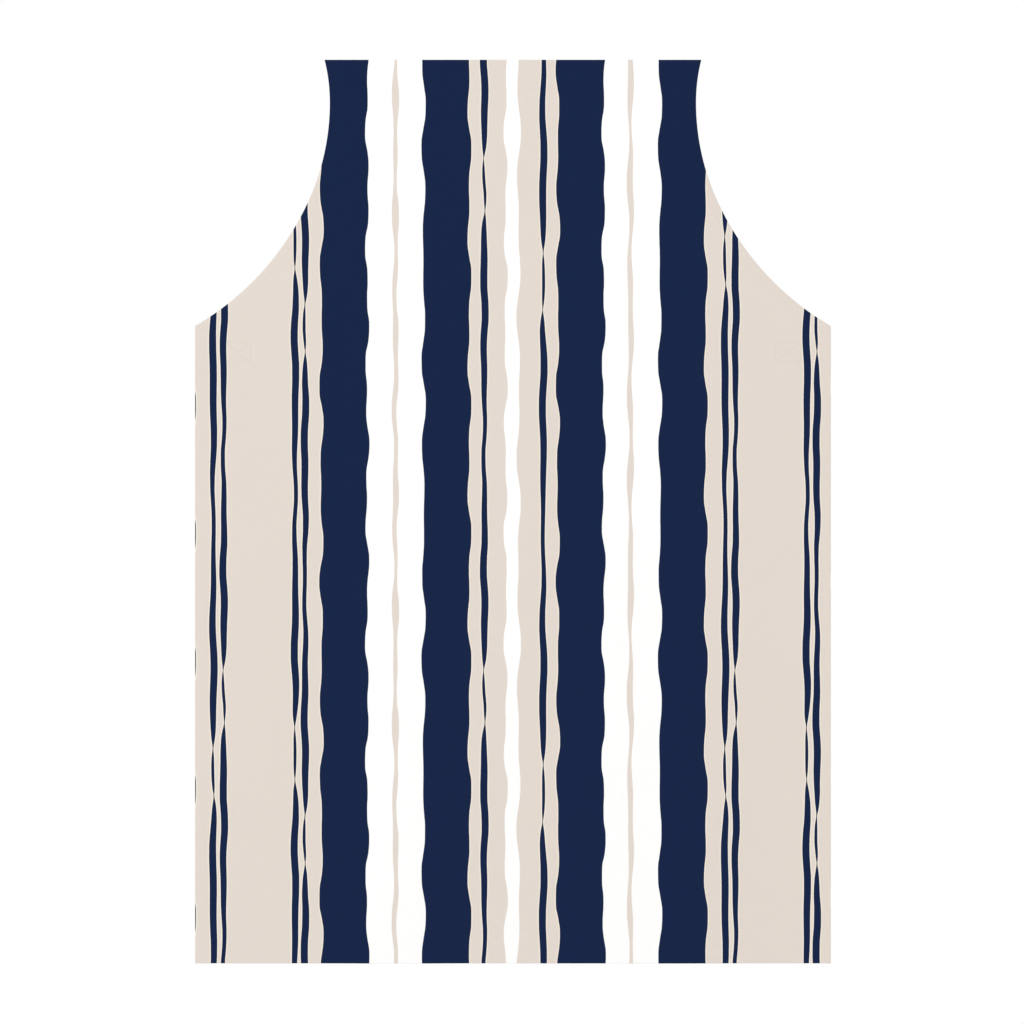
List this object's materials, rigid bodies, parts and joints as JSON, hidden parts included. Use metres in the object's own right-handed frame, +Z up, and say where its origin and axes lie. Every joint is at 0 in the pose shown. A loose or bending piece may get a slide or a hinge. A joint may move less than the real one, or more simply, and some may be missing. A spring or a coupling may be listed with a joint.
{
  "type": "bib apron",
  "caption": "Butcher's bib apron of striped cotton cloth with curved armholes, hemmed edges, an adjustable neck strap with ring and slider, and webbing waist ties.",
  "frame": {"origin": "middle of the bib's top edge, on the printed face", "axes": "+Z up along the hanging apron, -Y out of the printed face, +X to the right of someone who looks at the printed face"},
  "size_m": [0.61, 0.0271, 0.867],
  "materials": {
    "printed_cloth": "matt woven cotton, printed with vertical stripes in navy, beige and white",
    "cotton_webbing": "matt woven cotton tape, beige",
    "sewing_thread": "off-white spun thread",
    "nickel_plate": "nickel-plated steel wire and stamping",
    "label_tape": "white woven satin tape, blank"
  },
  "bodies": {
    "apron": {"armhole_facing_left": "printed_cloth", "armhole_facing_right": "printed_cloth", "armhole_seam_left": "sewing_thread", "armhole_seam_right": "sewing_thread", "body_cloth": "printed_cloth", "bottom_hem": "printed_cloth", "bottom_hem_seam": "sewing_thread", "box_stitching": "sewing_thread", "neck_strap_fold": "cotton_webbing", "neck_strap_sewn_end": "cotton_webbing", "neck_tab_fold": "cotton_webbing", "neck_tab_sewn_end": "cotton_webbing", "side_hem_left": "printed_cloth", "side_hem_right": "printed_cloth", "side_hem_seam_left": "sewing_thread", "side_hem_seam_right": "sewing_thread", "top_hem": "printed_cloth", "top_hem_seam": "sewing_thread", "waist_patch_left": "printed_cloth", "waist_patch_right": "printed_cloth", "waist_tie_fold_left": "cotton_webbing", "waist_tie_fold_right": "cotton_webbing", "waist_tie_sewn_end_left": "cotton_webbing", "waist_tie_sewn_end_right": "cotton_webbing"},
    "neck_strap": {"neck_strap": "cotton_webbing", "neck_tab": "cotton_webbing", "neck_ring": "nickel_plate", "neck_strap_return_ply": "cotton_webbing", "neck_tab_tack": "sewing_thread"},
    "neck_slider": {"neck_slider": "nickel_plate", "neck_strap_end_loop": "cotton_webbing", "end_loop_tack": "sewing_thread"},
    "waist_tie_left": {"waist_tie_left": "cotton_webbing", "waist_tie_end_hem_left": "cotton_webbing"},
    "waist_tie_right": {"waist_tie_right": "cotton_webbing", "waist_tie_end_hem_right": "cotton_webbing"},
    "care_label": {"care_label": "label_tape"}
  },
  "joints": [
    {"name": "neck_strap_swing", "type": "hinge", "parent": "apron", "child": "neck_strap", "pos_m": [0, 0.00455, -0.0025], "axis": [1, 0, 0], "range_deg": [0, 178], "deforming": ["neck_strap_fold", "neck_tab_fold"]},
    {"name": "neck_slider_travel", "type": "slide", "parent": "neck_strap", "child": "neck_slider", "axis": [0, 0, 1], "range_m": [-0.05, 0.006], "deforming": ["neck_strap_return_ply"]},
    {"name": "waist_tie_left_swing", "type": "hinge", "parent": "apron", "child": "waist_tie_left", "pos_m": [-0.2895, 0.00455, -0.2805], "axis": [0.7071, 0, 0.7071], "range_deg": [0, 178], "deforming": ["waist_tie_fold_left"]},
    {"name": "waist_tie_right_swing", "type": "hinge", "parent": "apron", "child": "waist_tie_right", "pos_m": [0.2895, 0.00455, -0.2805], "axis": [0.7071, 0, -0.7071], "range_deg": [0, 178], "deforming": ["waist_tie_fold_right"]},
    {"name": "care_label_swing", "type": "hinge", "parent": "apron", "child": "care_label", "pos_m": [0, 0.00205, -0.0305], "axis": [1, 0, 0], "range_deg": [0, 170]}
  ]
}
